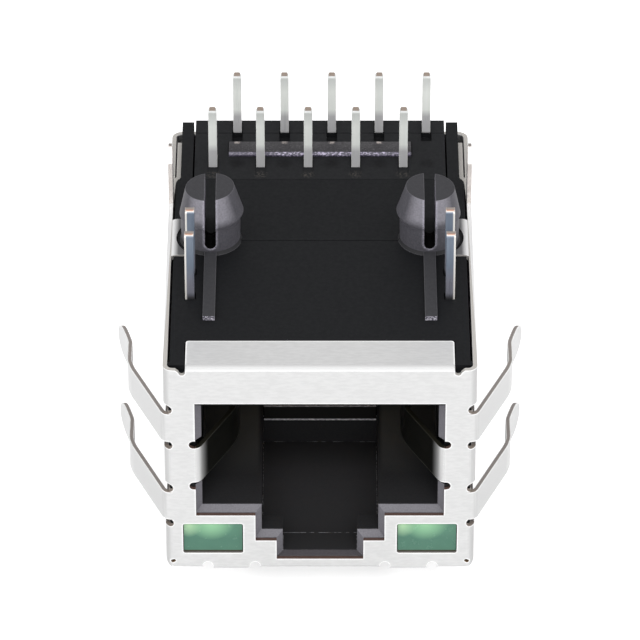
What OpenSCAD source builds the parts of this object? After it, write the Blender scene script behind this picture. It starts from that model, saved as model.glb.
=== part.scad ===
// Shielded modular jack for a printed circuit board, ten-pin magnetics version with two lamps.
// Units are millimetres. The jack lies on its top wall as it is often pictured: the plug mouth looks
// along -Y, the board pins point along +Z, and X runs across the front.
// Inside the modules y is the distance behind the front face and z the height above the top wall.

/* [Shield] */
// Width over the shield's side walls
shield_w = 16.0; // [15.8:0.1:16.6]
// Length from the front face to the back of the rear cover
shield_l = 23.2; // [23:0.1:25]
// Height from the top wall to the moulded board face
body_h = 12.8; // [12.7:0.1:13.6]
// Thickness of the shield's sheet
sheet = 0.23; // [0.2:0.01:0.25]
// Outside radius of the shield's folds
fold_r = 0.5; // [0.4:0.02:0.56]
// Outside radius of the front plate's lower fold
base_fold_r = 0.28; // [0.26:0.01:0.4]
// How far the side walls' edges stay below the board face
wall_drop = 0.02; // [0:0.02:0.2]
// How far the rear cover's edges stay below the board face
cover_drop = 1.0; // [0.7:0.1:1.5]
// Depth of the lip that folds over the board face
lip_d = 2.47; // [1.5:0.1:3]
// Width of the lip
lip_w = 13.7; // [12:0.1:13.8]
// Length of the flanges folded beside the posts
flange_l = 3.3; // [3:0.1:3.6]

/* [Spring fingers] */
// Width of each side finger
finger_w = 1.76; // [1.4:0.05:2]
// Width of each top finger
top_finger_w = 1.96; // [1.5:0.05:2.1]
// How far the side fingers stand off the wall
side_reach = 1.96; // [1:0.02:2.2]
// How far the top fingers stand off the wall
top_reach = 1.3; // [1:0.05:2]
// Distance behind the front face of a finger's tip
finger_tip = 8.75; // [8.25:0.05:9.2]
// Height of the upper side finger's centre line
upper_finger_z = 9.12; // [8.9:0.05:9.4]
// Height of the lower side finger's centre line
lower_finger_z = 4.1; // [3.8:0.05:4.4]
// Distance of the top fingers from the middle
top_finger_x = 4.6; // [4:0.1:5]
// Height of the relief notches beside a finger
notch_h = 0.5; // [0.4:0.05:0.6]

/* [Mouth] */
// Width of the plate's opening for the plug
mouth_w = 12.8; // [12.6:0.05:13]
// Distance from the board face down to the plate's opening
mouth_below = 2.14; // [2:0.02:2.3]
// Height of the main ledge
ledge_z = 3.48; // [3.4:0.02:3.6]
// Width of the opening between the main ledges
step_w = 6.68; // [6.5:0.02:6.9]
// Height of the latch step
step_z = 1.84; // [1.7:0.02:1.95]
// Width of the latch channel
channel_w = 4.5; // [4.3:0.02:4.7]
// Lower edge of the latch channel
channel_z = 0.64; // [0.62:0.02:0.7]
// Lead-in chamfer of the moulded mouth
lead_in = 0.32; // [0.2:0.02:0.36]
// Thickness of the latch ledges from front to back
ledge_t = 1.55; // [1.2:0.05:2]
// Depth of the plug cavity
mouth_d = 10.0; // [9.8:0.1:10.4]
// Innermost reach of the grounding tabs, from the middle
ground_tip_x = 4.15; // [4:0.05:4.6]

/* [Board side] */
// Spacing of the two posts
post_pitch = 11.43; // [11.3:0.01:11.56]
// Distance of the posts behind the front face
post_y = 11.7; // [11.6:0.05:11.8]
// Diameter of a post's shank
post_d = 3.1; // [3:0.02:3.2]
// How far a post's barb stands out beyond its shank
barb_out = 0.13; // [0.11:0.01:0.15]
// Diameter of a post's flat end
post_end_d = 2.56; // [2.2:0.05:2.7]
// Height of a post above the board face
post_h = 3.25; // [2.8:0.1:3.6]
// Width of the slit through a post
slit_w = 0.58; // [0.4:0.02:0.7]
// Height of the standing ribs above the board face
rib_h = 0.25; // [0.15:0.05:0.3]
// Sideways step between the staggered board pins
pin_step = 1.27; // [1.25:0.01:1.29]
// Distance from the front row of board pins to the rear row
row_pitch = 3.35; // [3.15:0.05:3.45]
// Distance of the rear row of pins from the back of the rear cover
rear_row_in = 1.25; // [1.2:0.01:1.3]
// Width of a board pin
pin_w = 0.45; // [0.4:0.01:0.5]
// Thickness of a board pin
pin_t = 0.4; // [0.3:0.02:0.42]
// Height of the board pins above the board face
pin_h = 3.6; // [3.2:0.1:3.8]
// Height of the shield's ground tabs above the board face
ground_tab_h = 3.2; // [2.8:0.1:3.6]
// Width of the shield's ground tabs
ground_tab_w = 1.5; // [1.3:0.05:1.7]

/* [Lamps] */
// Width of a lamp
lamp_w = 3.05; // [2.95:0.01:3.07]
// Height of a lamp
lamp_h = 1.85; // [1.75:0.01:1.87]
// Length of a lamp
lamp_l = 4.6; // [4:0.1:5]
// Distance of a lamp's centre from the middle
lamp_x = 5.54; // [5.5:0.01:5.58]
// Height of a lamp's centre
lamp_z = 1.98; // [1.96:0.01:2]
// Thickness of the lamp leads
lead_t = 0.48; // [0.42:0.02:0.5]
// Distance of the lamp leads from the middle
lead_x = 6.72; // [6.68:0.01:6.74]
// Distance of the front lamp leads behind the front face
front_lead_y = 6.47; // [6.4:0.05:6.6]
// Spacing of the two leads of a lamp
lead_pitch = 2.15; // [2:0.05:2.3]
// Height of the lamp leads above the board face
lead_h = 4.0; // [3.4:0.1:4.2]

/* [Contacts] */
// Spacing of the eight plug contacts
contact_pitch = 1.016; // [1:0.002:1.03]
// Width of a contact
contact_w = 0.45; // [0.4:0.01:0.5]
// Thickness of a contact
contact_t = 0.3; // [0.24:0.01:0.32]

/* [Magnetics] */
// Least diameter of a wound core, which grows a little with its pocket
wound_base = 1.55; // [1.45:0.05:1.6]
// Height of a ferrite core
core_h = 1.2; // [1:0.05:1.5]
// Thickness of the wire wound on a core
wire_t = 0.2; // [0.15:0.01:0.22]

/* [Hidden] */

steel = [0.86, 0.86, 0.86];
black_plastic = [0.16, 0.16, 0.17];
case_plastic = [0.19, 0.19, 0.2];
epoxy = [0.3, 0.29, 0.33];
tin = [0.78, 0.79, 0.77];
gold = [0.83, 0.66, 0.3];
green_lens = [0.35, 0.57, 0.47];
laminate = [0.1, 0.32, 0.16];
ferrite = [0.2, 0.2, 0.21];
copper = [0.72, 0.4, 0.2];
ceramic_tan = [0.72, 0.6, 0.42];

// How far a cutter runs past the face that it cuts
past = 1;
// Overlap of two stretches of the same sheet
weld = 0.05;
// Play between the mouldings and the shield
play = 0.03;
// Play between a piece and the slot that holds it
slot_play = 0.02;
// Steps in the turn of a fold
fold_steps = 6;
// Segments of a small round outline and of a large one
small_round = 24;
large_round = 64;

half_w = shield_w / 2;
mouth_top = body_h - mouth_below;
rear_row_y = shield_l - rear_row_in;
front_row_y = rear_row_y - row_pitch;
front_in = sheet + play;
wall_top = body_h - wall_drop;
cover_top = body_h - cover_drop;
lip_z = body_h + 0.05;
lip_fold_r = 0.42;
lip_root_z = mouth_top + 0.6;
lip_corner_r = 0.15;
lip_relief_r = 0.17;
lip_relief_z = wall_top - 0.15;
lip_relief_slope = 0.17;

// Small slanted tooling holes in the plate's lower corners
corner_hole_in = 0.38;
corner_hole_z = 0.5;
corner_hole_turn = 35;
corner_hole_r = 0.085;
corner_hole_shift = 0.05;

// Side walls' joggle for the rear cover
joggle = sheet + 0.08;
joggle_back = 4.35;
joggle_y = shield_l - joggle_back;
joggle_run = 0.55;
ramp_in = 0.06;
ramp_run = 1.75;
wall_end = joggle_y - ramp_run + 0.05;
tongue_gap = 1.07;
tongue_end = shield_l - tongue_gap;
cover_y = joggle_y + 0.08;
cover_fold_r = fold_r + 0.05;
corner_slit = 0.75;

// Catches of the rear cover
catch_z = cover_top / 2;
catch_h = 1.2;
catch_run = 0.8;
catch_rise = 0.2;
catch_back = (cover_y + shield_l) / 2 - catch_run;
catch_play = 0.1;

// Board side of the shield
flange_y = post_y - flange_l / 2 + 0.05;
flange_in = lead_x + 0.13;
post_x = post_pitch / 2;
barb_r = post_d / 2 + barb_out;
post_clear_r = barb_r + 0.13;
ground_tab_share = 0.613;
ground_tab_y = flange_y + flange_l + ground_tab_share * (wall_end - flange_y - flange_l);
ground_tab_taper = 0.7;
ground_tab_point = 0.16;

// Fingers
finger_base = 0.6;
finger_root = 0.02;
finger_knee = 3.9;
finger_flat_end = 5.0;
finger_flare = 0.6;
finger_knee_r = 2.5;
finger_taper_y = 6.3;
finger_taper = 0.36;
notch_in = 0.44;
window_end = finger_tip + 0.4;
stand_z = top_reach + finger_flare;

// Moulded mouth
mouth_x = mouth_w / 2 - lead_in;
mouth_floor = ledge_z + lead_in;
step_x = step_w / 2 - lead_in;
step_floor = step_z + lead_in;
channel_x = channel_w / 2 - lead_in;
channel_floor = channel_z + 0.15;
catch_y = front_in + ledge_t;
catch_floor = channel_floor - 0.07;
floor_step_y = catch_y + 0.23;
ceiling_z = mouth_top - 0.26;

// Grounding tabs in the mouth
ground_root_x = mouth_w / 2;
ground_low = 5.63;
ground_high = 7.82;
ground_apex_y = 4.6;
ground_end_y = 7.0;
ground_end_x = ground_tip_x + 0.6;
ground_relief = 0.45;
ground_relief_out = 0.32;
ground_pocket_x = lead_x - lead_t / 2 - 0.12;
ground_pocket_low = ground_low - 0.3;
ground_pocket_high = ground_high + 0.35;
ground_pocket_end = ground_end_y + 0.4;
ground_fold_x = ground_root_x + 0.36;
ground_fold_y = 0.62;
ground_root_r = 0.5;
ground_apex_r = 4;
ground_apex_in = 0.38;

// Housing and magnetics case
side_room = 0.12;
side_relief_h = 1.5;
shoulder_ahead = 1.4;
housing_x = half_w - sheet - side_room;
housing_end = wall_end;
case_x = 6.7;
arm_in = case_x + 0.09;
arm_out = half_w - joggle - sheet - 0.04;
arm_end = shield_l - sheet - 0.34;
case_end = shield_l - sheet - 0.16;
comb_t = 1.5;
cavity_y = mouth_d + comb_t;
board_room = 1.4;
case_front = cavity_y + board_room;
deck_t = 1.15;
floor_z = body_h - deck_t;
recess_play = 0.06;
lip_recess_x = lip_w / 2 + recess_play;
parting_y = 11.44;
line_w = 0.06;
line_depth = 0.05;

// Posts and ribs
post_sunk = 0.5;
post_root = 0.08;
post_root_h = 0.2;
post_barb_h = 1.72;
post_base = body_h - post_sunk;
post_barb = body_h + post_barb_h;
head_in = 0.05;
head_tilt = 3;
head_lap = 0.1;
head_root_r = post_d / 2 - 0.11;
head_root_h = 0.45;
slit_rest = 0.4;
slit_bridge = 0.1;
slit_rear_rest = post_root_h + 0.08;
slit_floor = body_h + slit_rest + slit_w / 2;
rib_w = 0.63;
rib_front = 4.34;
rib_gap = 0.06;
rib_back = post_y - post_d / 2 - rib_gap;

// Lamps and their leads
lamp_front = 0.12;
lamp_corner_r = 0.12;
lamp_play = 0.03;
lead_up = 0.35;
rear_lead_drop = 0.75;
lead_bend_r = lead_t + 0.1;
lead_chamfer = 0.13;
lead_funnel = 0.04;
lead_funnel_depth = 0.5;

// Contacts and their insert
insert_x = 4.7;
insert_y = 2.6;
insert_low = ceiling_z + 0.15;
contact_z = insert_low + 0.15;
contact_front = 1.75;
contact_low = 6.0;
contact_back = 0.35;
contact_tail_slot = 0.5;
contact_elbow_y = mouth_d - 0.75;
contact_end_y = mouth_d - 0.1;
contact_end_drop = 0.1;
contact_nose_r = 0.5;
contact_elbow_r = 1;
comb_y = mouth_d + 0.02;
comb_slot = 0.5;
comb_slot_h = 0.8;
comb_slot_low = contact_low - comb_slot_h;
comb_bar_t = 0.3;
comb_bar_low = 2.36;
comb_bar_high = 3.28;
comb_bar_x = step_x - play;

// Inner circuit board
board_t = 0.8;
board_y = case_front - board_t - slot_play;
board_x = 6.3;
board_low = 1.4;
board_high = floor_z - 0.1;
capacitor_w = 4.5;
capacitor_low = 2.8;
capacitor_h = 2;
capacitor_t = 1.5;
resistor_w = 1.6;
resistor_h = 0.8;
resistor_t = 0.45;
resistor_low = 6.4;
resistor_pitch = 2.4;
part_room = 0.2;

// Magnetics
pocket_wall = 0.6;
pocket_step = 0.8;
pocket_front = case_front + capacitor_t + pocket_step;
core_pitch_y = (case_end - pocket_wall - pocket_front) / 2;
wound_share = 0.3;
wound_d = wound_base + wound_share * core_pitch_y;
core_d = wound_d - 2 * wire_t;
core_hole_share = 0.545;
core_hole_d = core_d * core_hole_share;
wound_h = core_h + 2 * wire_t;
pocket_x = wound_d + 0.15;
pocket_pitch = 3.05;
pocket_below = 3.9;
pocket_floor = body_h - pocket_below;
choke_y = pocket_front + core_pitch_y / 2;
transformer_y = choke_y + core_pitch_y;
winding_gap = 0.4;
turns = 12;
wire_play = 0.005;

// Board pins
pin_foot = body_h - 0.2;
pin_jog = 0.42;
pin_rest = 1.1;
pin_in = pocket_floor + pin_rest;
pin_heel = 0.12;
pin_tip = 0.2;
pin_cut = 0.09;
pin_groove = 0.95;
pin_groove_depth = 0.45;
front_groove_depth = 0.05;
pin_groove_side = 0.06;
pin_count = 10;
bead_front_gap = 0.75;
bead_back_gap = 1.2;
bead_front = front_row_y + bead_front_gap;
bead_back = rear_row_y - bead_back_gap;
bead_x = 4.9;
bead_rest = 0.8;
bead_low = pocket_floor + bead_rest;
bead_rise = 0.2;
scribe_in = 0.4;
scribe_y = rear_row_y - scribe_in;

function unit(v) = v / norm(v);
function left_of(v) = [-v[1], v[0]];

// Direction in which the far side of a strip lies at point i, mitred at the bends
function side_at(p, i) =
    i == 0 ? left_of(unit(p[1] - p[0])) :
    i == len(p) - 1 ? left_of(unit(p[i] - p[i - 1])) :
    let (a = left_of(unit(p[i] - p[i - 1])), b = left_of(unit(p[i + 1] - p[i])))
    (a + b) / (1 + a * b);

// Outline of a sheet of thickness t whose one face follows the points p
function strip(p, t) =
    concat(p, [for (i = [len(p) - 1:-1:0]) p[i] + t * side_at(p, i)]);

// Arc of radius r that replaces the corner at b
function fold(a, b, c, r, n) =
    let (u = unit(a - b), v = unit(c - b), h = acos(u * v) / 2)
    let (m = b + unit(u + v) * r / sin(h))
    let (s = b + u * r / tan(h) - m, e = b + v * r / tan(h) - m)
    let (from = atan2(s[1], s[0]), turn = atan2(s[0] * e[1] - s[1] * e[0], s * e))
    [for (k = [0:n]) m + r * [cos(from + turn * k / n), sin(from + turn * k / n)]];

// Path p with the corner at each inner point i bent to radius r[i - 1]
function bent(p, r, n = fold_steps) =
    concat([p[0]], [for (i = [1:len(p) - 2]) each fold(p[i - 1], p[i], p[i + 1], r[i - 1], n)],
           [p[len(p) - 1]]);

// Half outline from x = 0 outwards, closed by its mirror image
function mirrored(p) = concat(p, [for (i = [len(p) - 1:-1:0]) [-p[i][0], p[i][1]]]);

// Moves a node from the front face and top wall to the part's own origin
module placed() translate([0, -shield_l / 2, stand_z]) children();

// A block between two x, two y and two z values
module block(x, y, z)
    translate([x[0], y[0], z[0]]) cube([x[1] - x[0], y[1] - y[0], z[1] - z[0]]);

module both_sides() {
    children();
    mirror([1, 0, 0]) children();
}

// Extrudes a plan (x, y) outline over a height range
module plan(z) translate([0, 0, z[0]]) linear_extrude(z[1] - z[0]) children();

// Extrudes a front (x, z) outline over a depth range
module front(y) translate([0, y[1], 0]) rotate([90, 0, 0]) linear_extrude(y[1] - y[0]) children();

// Extrudes a side (y, z) outline over a width range
module side(x)
    translate([x[0], 0, 0]) rotate([90, 0, 90]) linear_extrude(x[1] - x[0]) children();

// Solid box with folded front and lower edges, inset by g from the shield's outer faces
module folded_box(g, back, top, r, low_r) {
    x = half_w - g;
    c = r - g;
    low = max(low_r - g, play);
    intersection() {
        plan([g - weld, top])
            polygon(mirrored(bent([[0, g], [x, g], [x, back]], [c])));
        front([g - weld, back + weld])
            polygon(mirrored(bent([[0, g], [x, g], [x, top]], [c])));
        side([-half_w, half_w])
            polygon(bent([[back, top], [g, top + past], [g, g], [back + weld, g]], [c, low]));
    }
}

// Outline of the plug opening in the shield's plate
module mouth_outline() {
    notch_x = ground_root_x + ground_relief_out;
    translate([-mouth_w / 2, ledge_z]) square([mouth_w, mouth_top - ledge_z]);
    translate([-step_w / 2, step_z]) square([step_w, mouth_top - step_z]);
    translate([-channel_w / 2, channel_z]) square([channel_w, mouth_top - channel_z]);
    for (s = [-1, 1], z = [ground_low - ground_relief / 2, ground_high + ground_relief / 2]) {
        r = ground_relief / 2;
        translate([s * (notch_x - r), z]) circle(r, $fn = small_round);
        translate([min(s * (notch_x - r), 0), z - r]) square([notch_x - r, ground_relief]);
    }
}

// Side profile of an outer finger: x is the distance from the wall's outer face, y the depth
function finger_path(reach, root_r) =
    bent([[-finger_base, 0], [finger_root, 0], [reach, finger_knee], [reach, finger_flat_end],
          [reach + finger_flare, finger_tip]],
         [root_r, finger_knee_r, finger_knee_r]);

// One finger on the wall at x = 0, its width along z, tapering to a round tip
module finger(reach, wide, root_r) {
    w = wide / 2;
    tip_r = w - finger_taper;
    intersection() {
        plan([-w, w]) polygon(strip(finger_path(reach, root_r), sheet));
        side([-past, reach + past]) union() {
            translate([-weld, -w]) square([finger_taper_y + weld, wide]);
            polygon([[finger_taper_y, -w], [finger_tip - tip_r, -tip_r],
                     [finger_tip - tip_r, tip_r], [finger_taper_y, w]]);
            translate([finger_tip - tip_r, 0]) circle(tip_r, $fn = large_round);
        }
    }
}

// Places children at each outer finger, with x away from the wall and z along the wall
module at_fingers() {
    both_sides() for (z = [upper_finger_z, lower_finger_z]) translate([half_w, 0, z]) children();
}

module at_top_fingers() {
    both_sides() translate([top_finger_x, 0, 0]) rotate([0, 90, 0]) children();
}

// Opening that a finger leaves in its wall, with the relief notches that reach into the front plate
module finger_window(wide) {
    h = wide / 2 + notch_h;
    r = notch_h / 2;
    side([-2 * sheet, past]) translate([fold_r, -h]) square([window_end - fold_r, 2 * h]);
    for (s = [-1, 1]) translate([0, 0, s * (wide / 2 + r)]) {
        front([-past, fold_r + weld]) union() {
            translate([-notch_in + r, 0]) circle(r, $fn = small_round);
            translate([-notch_in + r, -r]) square([past, notch_h]);
        }
    }
    block([-fold_r + sheet, past], [-past, fold_r + weld], [-wide / 2, wide / 2]);
}

// The tabs bent into the mouth, which touch the plug's shield
module grounding_tab() {
    root = ground_root_x + 0.7;
    bend = ground_root_x - 0.2;
    apex = ground_tip_x - ground_apex_in;
    path = bent([[root, 0], [bend, 0], [apex, ground_apex_y], [ground_end_x, ground_end_y]],
                [ground_root_r, ground_apex_r]);
    mid = (ground_low + ground_high) / 2;
    w = (ground_high - ground_low) / 2;
    intersection() {
        plan([ground_low, ground_high]) polygon(strip(path, -sheet));
        side([0, half_w]) union() {
            translate([-weld, ground_low]) square([ground_end_y - w + weld, 2 * w]);
            translate([ground_end_y - w, mid]) circle(w, $fn = large_round);
        }
    }
}

// Fold of the front plate over the board face
module front_lip() {
    x = lip_w / 2;
    r = lip_corner_r;
    intersection() {
        side([-x, x])
            polygon(strip(bent([[0, lip_root_z], [0, lip_z], [lip_d, lip_z]], [lip_fold_r]), -sheet));
        plan([lip_root_z - past, lip_z + past]) union() {
            translate([-x, -past]) square([2 * x, lip_d - r + past]);
            translate([r - x, -past]) square([2 * (x - r), lip_d + past]);
            for (s = [-1, 1]) translate([s * (x - r), lip_d - r]) circle(r, $fn = small_round);
        }
    }
}

module lip_reliefs() {
    r = lip_relief_r;
    x = lip_w / 2 + 2 * r;
    both_sides() front([-past, fold_r]) union() {
        translate([lip_w / 2 + r, lip_relief_z]) circle(r, $fn = small_round);
        polygon([[lip_w / 2, lip_relief_z], [x, lip_relief_z], [x + lip_relief_slope, wall_top],
                 [x + lip_relief_slope, wall_top + past], [lip_w / 2, wall_top + past]]);
    }
}

// Flange folded over the board face beside a post, cut round for the post
module side_flange() {
    path = bent([[half_w, wall_top - past], [half_w, lip_z], [flange_in, lip_z]], [fold_r]);
    difference() {
        front([flange_y, flange_y + flange_l]) polygon(strip(path, sheet));
        translate([post_x, post_y, wall_top - past])
            cylinder(r = post_clear_r, h = 3 * past, $fn = large_round);
    }
}

// Solder tab that earths the shield, with a tapered tip
module ground_tab() {
    w = ground_tab_w / 2;
    top = body_h + ground_tab_h;
    half = [[w / 5, top], [w / 2, top - ground_tab_point], [w, top - ground_tab_taper],
            [w, wall_top - past]];
    side([half_w - sheet, half_w]) translate([ground_tab_y, 0]) polygon(mirrored(half));
}

// Rear stretch of a wall, set inwards so that the cover slips over it. u is 0 at the outer face.
function joggle_path() =
    [[0, joggle_y - ramp_run], [-ramp_in, joggle_y - joggle_run], [-joggle, joggle_y], [-joggle, tongue_end]];

module side_tongue() {
    plan([corner_slit, cover_top]) translate([half_w, 0]) polygon(strip(joggle_path(), sheet));
}

module top_tongue() {
    x = half_w - corner_slit;
    side([-x, x]) polygon([for (q = strip(joggle_path(), sheet)) [q[1], -q[0]]]);
}

// The catches that hold the rear cover: small wedges pressed out of the tongues
module catch_bump() {
    x = half_w - joggle;
    both_sides() plan([catch_z - catch_h / 2, catch_z + catch_h / 2])
        polygon([[x - weld, catch_back], [x - weld, catch_back + catch_run], [x + catch_rise, catch_back]]);
}

module shield_shell() color(steel) placed() {
    difference() {
        union() {
            difference() {
                folded_box(0, wall_end, wall_top, fold_r, base_fold_r);
                folded_box(sheet, wall_end + past, wall_top + past, fold_r, base_fold_r);
                at_fingers() finger_window(finger_w);
                at_top_fingers() finger_window(top_finger_w);
                block([-half_w - past, half_w + past], [ground_tab_y + ground_tab_w / 2, wall_end + past],
                      [cover_top, wall_top + past]);
            }
            both_sides() {
                side_flange();
                ground_tab();
                side_tongue();
            }
            top_tongue();
            front_lip();
            catch_bump();
        }
        front([-past, sheet + weld]) mouth_outline();
        lip_reliefs();
        both_sides() {
            front([-past, sheet + weld]) translate([lamp_x, lamp_z])
                lamp_opening(lamp_w + 2 * lamp_play, lamp_h + 2 * lamp_play);
            corner_hole();
        }
    }
    at_fingers() finger(side_reach, finger_w, fold_r);
    at_top_fingers() finger(top_reach, top_finger_w, base_fold_r);
    both_sides() grounding_tab();
}

module corner_hole() {
    r = corner_hole_r;
    d = corner_hole_shift;
    translate([half_w - corner_hole_in, 0, corner_hole_z]) rotate([0, corner_hole_turn, 0])
        front([-past, fold_r]) union() {
            for (s = [-1, 1]) translate([s * d, 0]) circle(r, $fn = small_round);
            translate([-d, -r]) square([2 * d, 2 * r]);
        }
}

module lamp_opening(w, h) {
    r = lamp_corner_r;
    translate([-w / 2 + r, -h / 2]) square([w - 2 * r, h]);
    translate([-w / 2, -h / 2 + r]) square([w, h - 2 * r]);
    for (sx = [-1, 1], sz = [-1, 1])
        translate([sx * (w / 2 - r), sz * (h / 2 - r)]) circle(r, $fn = small_round);
}

// Separate cover that closes the back and laps over the joggled walls
module rear_cover() color(steel) placed() {
    depth = shield_l - cover_y;
    catch_top = catch_z + catch_h / 2 + catch_play;
    difference() {
        translate([0, shield_l, 0]) mirror([0, 1, 0]) difference() {
            folded_box(0, depth, cover_top, cover_fold_r, cover_fold_r);
            folded_box(sheet, depth + past, cover_top + past, cover_fold_r, cover_fold_r);
        }
        both_sides()
            block([half_w - sheet - weld, half_w + past],
                  [catch_back - catch_play, catch_back + catch_run + catch_play],
                  [2 * catch_z - catch_top, catch_top]);
    }
}

// Split post that snaps into a board hole, with a small fillet at its root and a head that leans
// outwards. A low bridge joins its halves in front, and a lower one behind.
module board_post() {
    end = post_h - post_barb_h;
    translate([post_x, post_y, 0]) difference() {
        union() {
            rotate_extrude($fn = large_round)
                polygon([[0, post_base], [post_d / 2 + post_root, post_base],
                         [post_d / 2 + post_root, body_h], [post_d / 2, body_h + post_root_h],
                         [post_d / 2, post_barb - head_lap], [0, post_barb - head_lap]]);
            translate([-head_in, 0, post_barb]) rotate([0, head_tilt, 0]) rotate_extrude($fn = large_round)
                polygon([[0, -head_root_h], [head_root_r, -head_root_h], [barb_r, 0],
                         [post_end_d / 2, end], [0, end]]);
        }
        block([-slit_w / 2, slit_w / 2], [-post_d, post_d], [slit_floor, body_h + post_h + past]);
        block([-slit_w / 2, slit_w / 2], [-slit_bridge, post_d],
              [body_h + slit_rear_rest, body_h + post_h + past]);
        translate([0, post_d, slit_floor]) rotate([90, 0, 0])
            cylinder(d = slit_w, h = 2 * post_d, $fn = small_round);
    }
}

// Opening that narrows from the plate's cut-out to the moulded throat
module tapered_mouth(x, low, high, drop) {
    y = front_in;
    intersection() {
        plan([low - 2 * past, high + 2 * past])
            polygon([[-x - lead_in - past, y - past], [x + lead_in + past, y - past],
                     [x, y + lead_in], [x, mouth_d], [-x, mouth_d], [-x, y + lead_in]]);
        side([-x - 2 * past, x + 2 * past])
            polygon([[y - past, low - drop * (1 + past / lead_in)], [y + lead_in, low], [mouth_d, low],
                     [mouth_d, high], [y - past, high]]);
    }
}

module lead_channel(y, r) {
    half = lead_t / 2 + slot_play;
    block([lead_x - half, lead_x + half], [y - half, y + half], [lamp_z - half - r, body_h + past]);
    wide = half + lead_funnel;
    block([lead_x - wide, lead_x + wide], [y - wide, y + wide], [body_h - lead_funnel_depth, body_h + past]);
}

// Front moulding: mouth, lamp pockets, posts and the two arms that hold the magnetics case
module front_housing() color(black_plastic) placed() {
    lamp_slot_w = lamp_w + 2 * lamp_play;
    lamp_slot_h = lamp_h + 2 * lamp_play;
    difference() {
        union() {
            intersection() {
                folded_box(front_in, housing_end, body_h, fold_r, fold_r);
                block([-half_w, half_w], [0, housing_end], [0, body_h]);
            }
            both_sides() {
                block([arm_in, arm_out], [housing_end - past, arm_end], [front_in + joggle, body_h]);
                board_post();
                block([post_x - rib_w / 2, post_x + rib_w / 2], [rib_front, rib_back],
                      [body_h - weld, body_h + rib_h]);
            }
        }
        // the mouth with its lead-in chamfers, the latch step and the latch channel
        tapered_mouth(mouth_x, mouth_floor, ceiling_z, lead_in);
        tapered_mouth(step_x, step_floor, mouth_floor + past, lead_in);
        tapered_mouth(channel_x, channel_floor, step_floor + past, channel_floor - channel_z);
        block([-step_x, step_x], [catch_y, mouth_d], [channel_floor, mouth_floor + weld]);
        block([-step_x, step_x], [floor_step_y, mouth_d], [catch_floor, mouth_floor + weld]);
        // the sheet that is folded over the board face lies in shallow recesses
        block([-lip_recess_x, lip_recess_x], [0, lip_d + recess_play], [lip_z - sheet - play, body_h + past]);
        block([-half_w, half_w], [0, lip_fold_r + play], [lip_z - lip_fold_r, body_h + past]);
        both_sides() {
            difference() {
                block([flange_in - recess_play, half_w],
                      [flange_y - recess_play, flange_y + flange_l + recess_play],
                      [lip_z - sheet - play, body_h + past]);
                translate([post_x, post_y, body_h - past])
                    cylinder(r = post_clear_r - recess_play, h = 2 * past, $fn = large_round);
            }
            // room for the fold of the flange and for the joggled walls
            block([half_w - fold_r - play, half_w],
                  [flange_y - recess_play, flange_y + flange_l + recess_play],
                  [lip_z - fold_r - play, body_h + past]);
            housing_side();
            // the grounding tab's pocket
            block([mouth_x - weld, ground_pocket_x], [0, ground_pocket_end],
                  [ground_pocket_low, ground_pocket_high]);
            block([mouth_x - weld, ground_fold_x], [0, ground_fold_y],
                  [ground_pocket_low, ground_pocket_high]);
            // the lamp's pocket and its leads' channels
            translate([lamp_x, 0, lamp_z])
                block([-lamp_slot_w / 2, lamp_slot_w / 2], [0, lamp_l + lamp_play],
                      [-lamp_slot_h / 2, lamp_slot_h / 2]);
            lead_channel(front_lead_y, 0);
            lead_channel(front_lead_y + lead_pitch, rear_lead_drop);
            lead_trench(front_lead_y, 0);
            lead_trench(front_lead_y + lead_pitch, rear_lead_drop);
        }
        // behind the mouth only the board face and the side walls remain
        block([-arm_in, arm_in], [cavity_y, housing_end + past], [0, floor_z]);
        block([-arm_in, arm_in], [housing_end, arm_end + past], [0, body_h + past]);
        // seat of the contact insert, open to the back
        block([-insert_x - slot_play, insert_x + slot_play], [insert_y - slot_play, cavity_y + past],
              [ceiling_z - past, floor_z]);
        block([-insert_x - slot_play, insert_x + slot_play], [mouth_d - past / 2, cavity_y + past],
              [comb_bar_low - slot_play, ceiling_z]);
        // parting line across the board face, between the posts
        block([-case_x, case_x], [parting_y, parting_y + line_w], [body_h - line_depth, body_h + past]);
    }
}

// Room beside the housing: its upper edges stand back from the walls, and behind the flanges it
// narrows ahead of the joggle
module housing_side() {
    flange_end = flange_y + flange_l + recess_play;
    plan([0, body_h + past])
        polygon([[housing_x, flange_end], [housing_x, joggle_y - joggle_run - shoulder_ahead],
                 [arm_out, joggle_y - shoulder_ahead], [arm_out, housing_end + past],
                 [half_w, housing_end + past], [half_w, flange_end]]);
    block([housing_x, half_w], [front_in + fold_r, flange_y], [body_h - side_relief_h, body_h + past]);
}

// Horizontal stretch of a lead's channel, behind the lamp
module lead_trench(y, drop) {
    half = lead_t / 2 + slot_play;
    z = lamp_z - drop + lead_up;
    block([lead_x - half, lead_x + half], [lamp_l - weld, y + half], [z - half, z + half + lead_t / 4]);
}

module lamp_body() {
    front([lamp_front, lamp_l]) translate([lamp_x, lamp_z]) lamp_opening(lamp_w, lamp_h);
}

module left_lamp() color(green_lens) placed() mirror([1, 0, 0]) lamp_body();
module right_lamp() color(green_lens) placed() lamp_body();

// A lead bends up from the back of its lamp to the board. Its tip is chamfered.
module lamp_lead(y, drop) {
    h = lead_t / 2;
    top = body_h + lead_h;
    z = lamp_z - drop + lead_up;
    path = bent([[lamp_l + wire_play, z - h], [y + h, z - h], [y + h, top]], [lead_bend_r]);
    side([lead_x - h, lead_x + h]) difference() {
        polygon(strip(path, lead_t));
        for (s = [-1, 1]) translate([y + s * h, top]) circle(lead_chamfer, $fn = 4);
    }
}

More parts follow.
